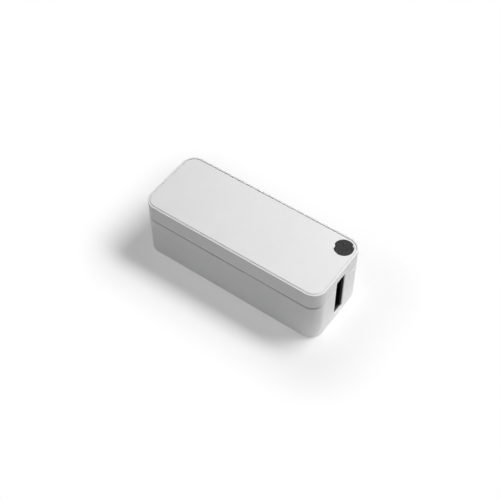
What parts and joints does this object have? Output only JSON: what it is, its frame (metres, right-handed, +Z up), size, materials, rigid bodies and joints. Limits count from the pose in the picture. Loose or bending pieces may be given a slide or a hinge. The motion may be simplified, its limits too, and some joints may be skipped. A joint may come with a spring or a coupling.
{
  "type": "cable management box",
  "caption": "Long rounded box that hides a socket strip and its leads, with a lift-off lid, a cable slot in each end and a turning port cap in the lid.",
  "frame": {"origin": "centre of the footprint, on the surface that the feet stand on", "axes": "+X along the box towards the end with the port, +Y from the front to the rear, +Z up"},
  "size_m": [0.4, 0.155, 0.135],
  "materials": {
    "white_shell": "fine satin moulding texture",
    "black_lining": "fine spark texture",
    "pale_mat": "matt, fine grain",
    "dark_cap": "fine stipple",
    "dark_rubber": "matt"
  },
  "bodies": {
    "base": {"base_shell": "white_shell", "base_tray": "black_lining", "foot_front_left": "dark_rubber", "foot_front_right": "dark_rubber", "foot_rear_left": "dark_rubber", "foot_rear_right": "dark_rubber"},
    "lid": {"lid_shell": "white_shell", "lid_frame": "black_lining", "lid_mat": "pale_mat"},
    "cap": {"port_cap": "dark_cap"}
  },
  "joints": [
    {"name": "lid_lift", "type": "slide", "parent": "base", "child": "lid", "axis": [0, 0, 1], "range_m": [0, 0.15]},
    {"name": "cap_turn", "type": "hinge", "parent": "lid", "child": "cap", "pos_m": [0.1727, 0.0502, 0.133], "axis": [0, 0, 1], "continuous": true}
  ]
}
